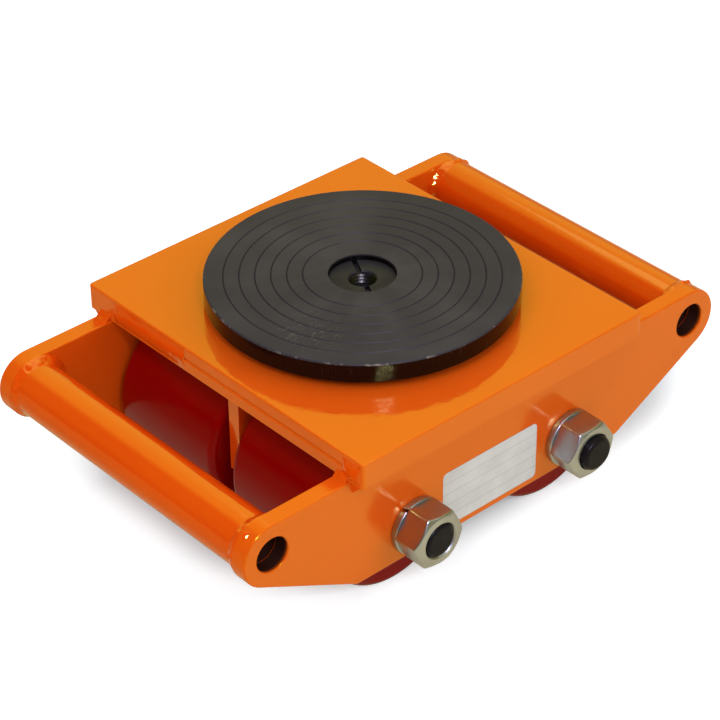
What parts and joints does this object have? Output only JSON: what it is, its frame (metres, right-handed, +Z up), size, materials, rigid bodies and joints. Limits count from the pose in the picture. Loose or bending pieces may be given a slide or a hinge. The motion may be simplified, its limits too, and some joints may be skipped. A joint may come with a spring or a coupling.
{
  "type": "machine skate",
  "caption": "Low load-moving skate: welded plate frame with hollow pull bars, polyurethane rollers on ball bearings and a grooved steel turntable on a thrust bearing.",
  "frame": {"origin": "on the ground, below the middle of the turntable", "axes": "+X the way it rolls, +Y its left side along the axles, +Z up"},
  "size_m": [0.339, 0.251, 0.126],
  "materials": {
    "frame_enamel": "gloss orange enamel",
    "axle_black": "black oxide",
    "zinc_plate": "bright zinc plate",
    "bearing_steel": "ground bearing steel",
    "cage_steel": "pressed steel",
    "seal_rubber": "black rubber",
    "roller_polyurethane": "gloss deep red polyurethane",
    "roller_iron": "machined cast iron",
    "turntable_steel": "turned steel, blackened"
  },
  "bodies": {
    "frame": {"deck_top_plate": "frame_enamel", "deck_base_plate": "frame_enamel", "side_plate_left": "frame_enamel", "side_plate_right": "frame_enamel", "centre_rib": "frame_enamel", "pull_bar_front": "frame_enamel", "pull_bar_rear": "frame_enamel", "pull_bar_welds": "frame_enamel", "deck_side_welds": "frame_enamel", "rib_welds": "frame_enamel", "deck_seam_welds": "frame_enamel", "axle_front": "axle_black", "axle_rear": "axle_black", "axle_nuts": "zinc_plate", "axle_spring_washers": "zinc_plate", "spacer_sleeves": "zinc_plate", "spacer_collars": "zinc_plate", "bearing_inner_rings": "bearing_steel", "thrust_race_lower": "bearing_steel", "pivot_nut": "turntable_steel", "pivot_bolt": "zinc_plate", "pivot_spring_washer": "zinc_plate"},
    "turntable": {"turntable_disc": "turntable_steel", "thrust_race_upper": "bearing_steel"},
    "thrust_ball_ring": {"thrust_cage": "cage_steel", "thrust_balls": "bearing_steel"},
    "roller_front_left": {"roller_tread_front_left": "roller_polyurethane", "roller_core_front_left": "roller_iron", "bearing_outer_rings_front_left": "bearing_steel", "bearing_seals_front_left": "seal_rubber"},
    "roller_ball_rings_front_left": {"bearing_balls_front_left": "bearing_steel", "bearing_cages_front_left": "cage_steel"},
    "roller_front_right": {"roller_tread_front_right": "roller_polyurethane", "roller_core_front_right": "roller_iron", "bearing_outer_rings_front_right": "bearing_steel", "bearing_seals_front_right": "seal_rubber"},
    "roller_ball_rings_front_right": {"bearing_balls_front_right": "bearing_steel", "bearing_cages_front_right": "cage_steel"},
    "roller_rear_left": {"roller_tread_rear_left": "roller_polyurethane", "roller_core_rear_left": "roller_iron", "bearing_outer_rings_rear_left": "bearing_steel", "bearing_seals_rear_left": "seal_rubber"},
    "roller_ball_rings_rear_left": {"bearing_balls_rear_left": "bearing_steel", "bearing_cages_rear_left": "cage_steel"},
    "roller_rear_right": {"roller_tread_rear_right": "roller_polyurethane", "roller_core_rear_right": "roller_iron", "bearing_outer_rings_rear_right": "bearing_steel", "bearing_seals_rear_right": "seal_rubber"},
    "roller_ball_rings_rear_right": {"bearing_balls_rear_right": "bearing_steel", "bearing_cages_rear_right": "cage_steel"}
  },
  "joints": [
    {"name": "turntable_turn", "type": "hinge", "parent": "frame", "child": "turntable", "pos_m": [0, 0, 0.11], "axis": [0, 0, 1], "continuous": true},
    {"name": "thrust_ball_ring_turn", "type": "hinge", "parent": "frame", "child": "thrust_ball_ring", "pos_m": [0, 0, 0.11], "axis": [0, 0, 1], "continuous": true},
    {"name": "roller_turn_front_left", "type": "hinge", "parent": "frame", "child": "roller_front_left", "pos_m": [0.0562, 0, 0.0455], "axis": [0, 1, 0], "continuous": true},
    {"name": "ball_rings_turn_front_left", "type": "hinge", "parent": "frame", "child": "roller_ball_rings_front_left", "pos_m": [0.0562, 0, 0.0455], "axis": [0, 1, 0], "continuous": true},
    {"name": "roller_turn_front_right", "type": "hinge", "parent": "frame", "child": "roller_front_right", "pos_m": [0.0562, 0, 0.0455], "axis": [0, 1, 0], "continuous": true},
    {"name": "ball_rings_turn_front_right", "type": "hinge", "parent": "frame", "child": "roller_ball_rings_front_right", "pos_m": [0.0562, 0, 0.0455], "axis": [0, 1, 0], "continuous": true},
    {"name": "roller_turn_rear_left", "type": "hinge", "parent": "frame", "child": "roller_rear_left", "pos_m": [-0.0562, 0, 0.0455], "axis": [0, 1, 0], "continuous": true},
    {"name": "ball_rings_turn_rear_left", "type": "hinge", "parent": "frame", "child": "roller_ball_rings_rear_left", "pos_m": [-0.0562, 0, 0.0455], "axis": [0, 1, 0], "continuous": true},
    {"name": "roller_turn_rear_right", "type": "hinge", "parent": "frame", "child": "roller_rear_right", "pos_m": [-0.0562, 0, 0.0455], "axis": [0, 1, 0], "continuous": true},
    {"name": "ball_rings_turn_rear_right", "type": "hinge", "parent": "frame", "child": "roller_ball_rings_rear_right", "pos_m": [-0.0562, 0, 0.0455], "axis": [0, 1, 0], "continuous": true}
  ],
  "couplings": [
    {"joint": "thrust_ball_ring_turn", "follows": "turntable_turn", "ratio": 0.5},
    {"joint": "ball_rings_turn_front_left", "follows": "roller_turn_front_left", "ratio": 0.6179},
    {"joint": "ball_rings_turn_front_right", "follows": "roller_turn_front_right", "ratio": 0.6179},
    {"joint": "ball_rings_turn_rear_left", "follows": "roller_turn_rear_left", "ratio": 0.6179},
    {"joint": "ball_rings_turn_rear_right", "follows": "roller_turn_rear_right", "ratio": 0.6179}
  ]
}
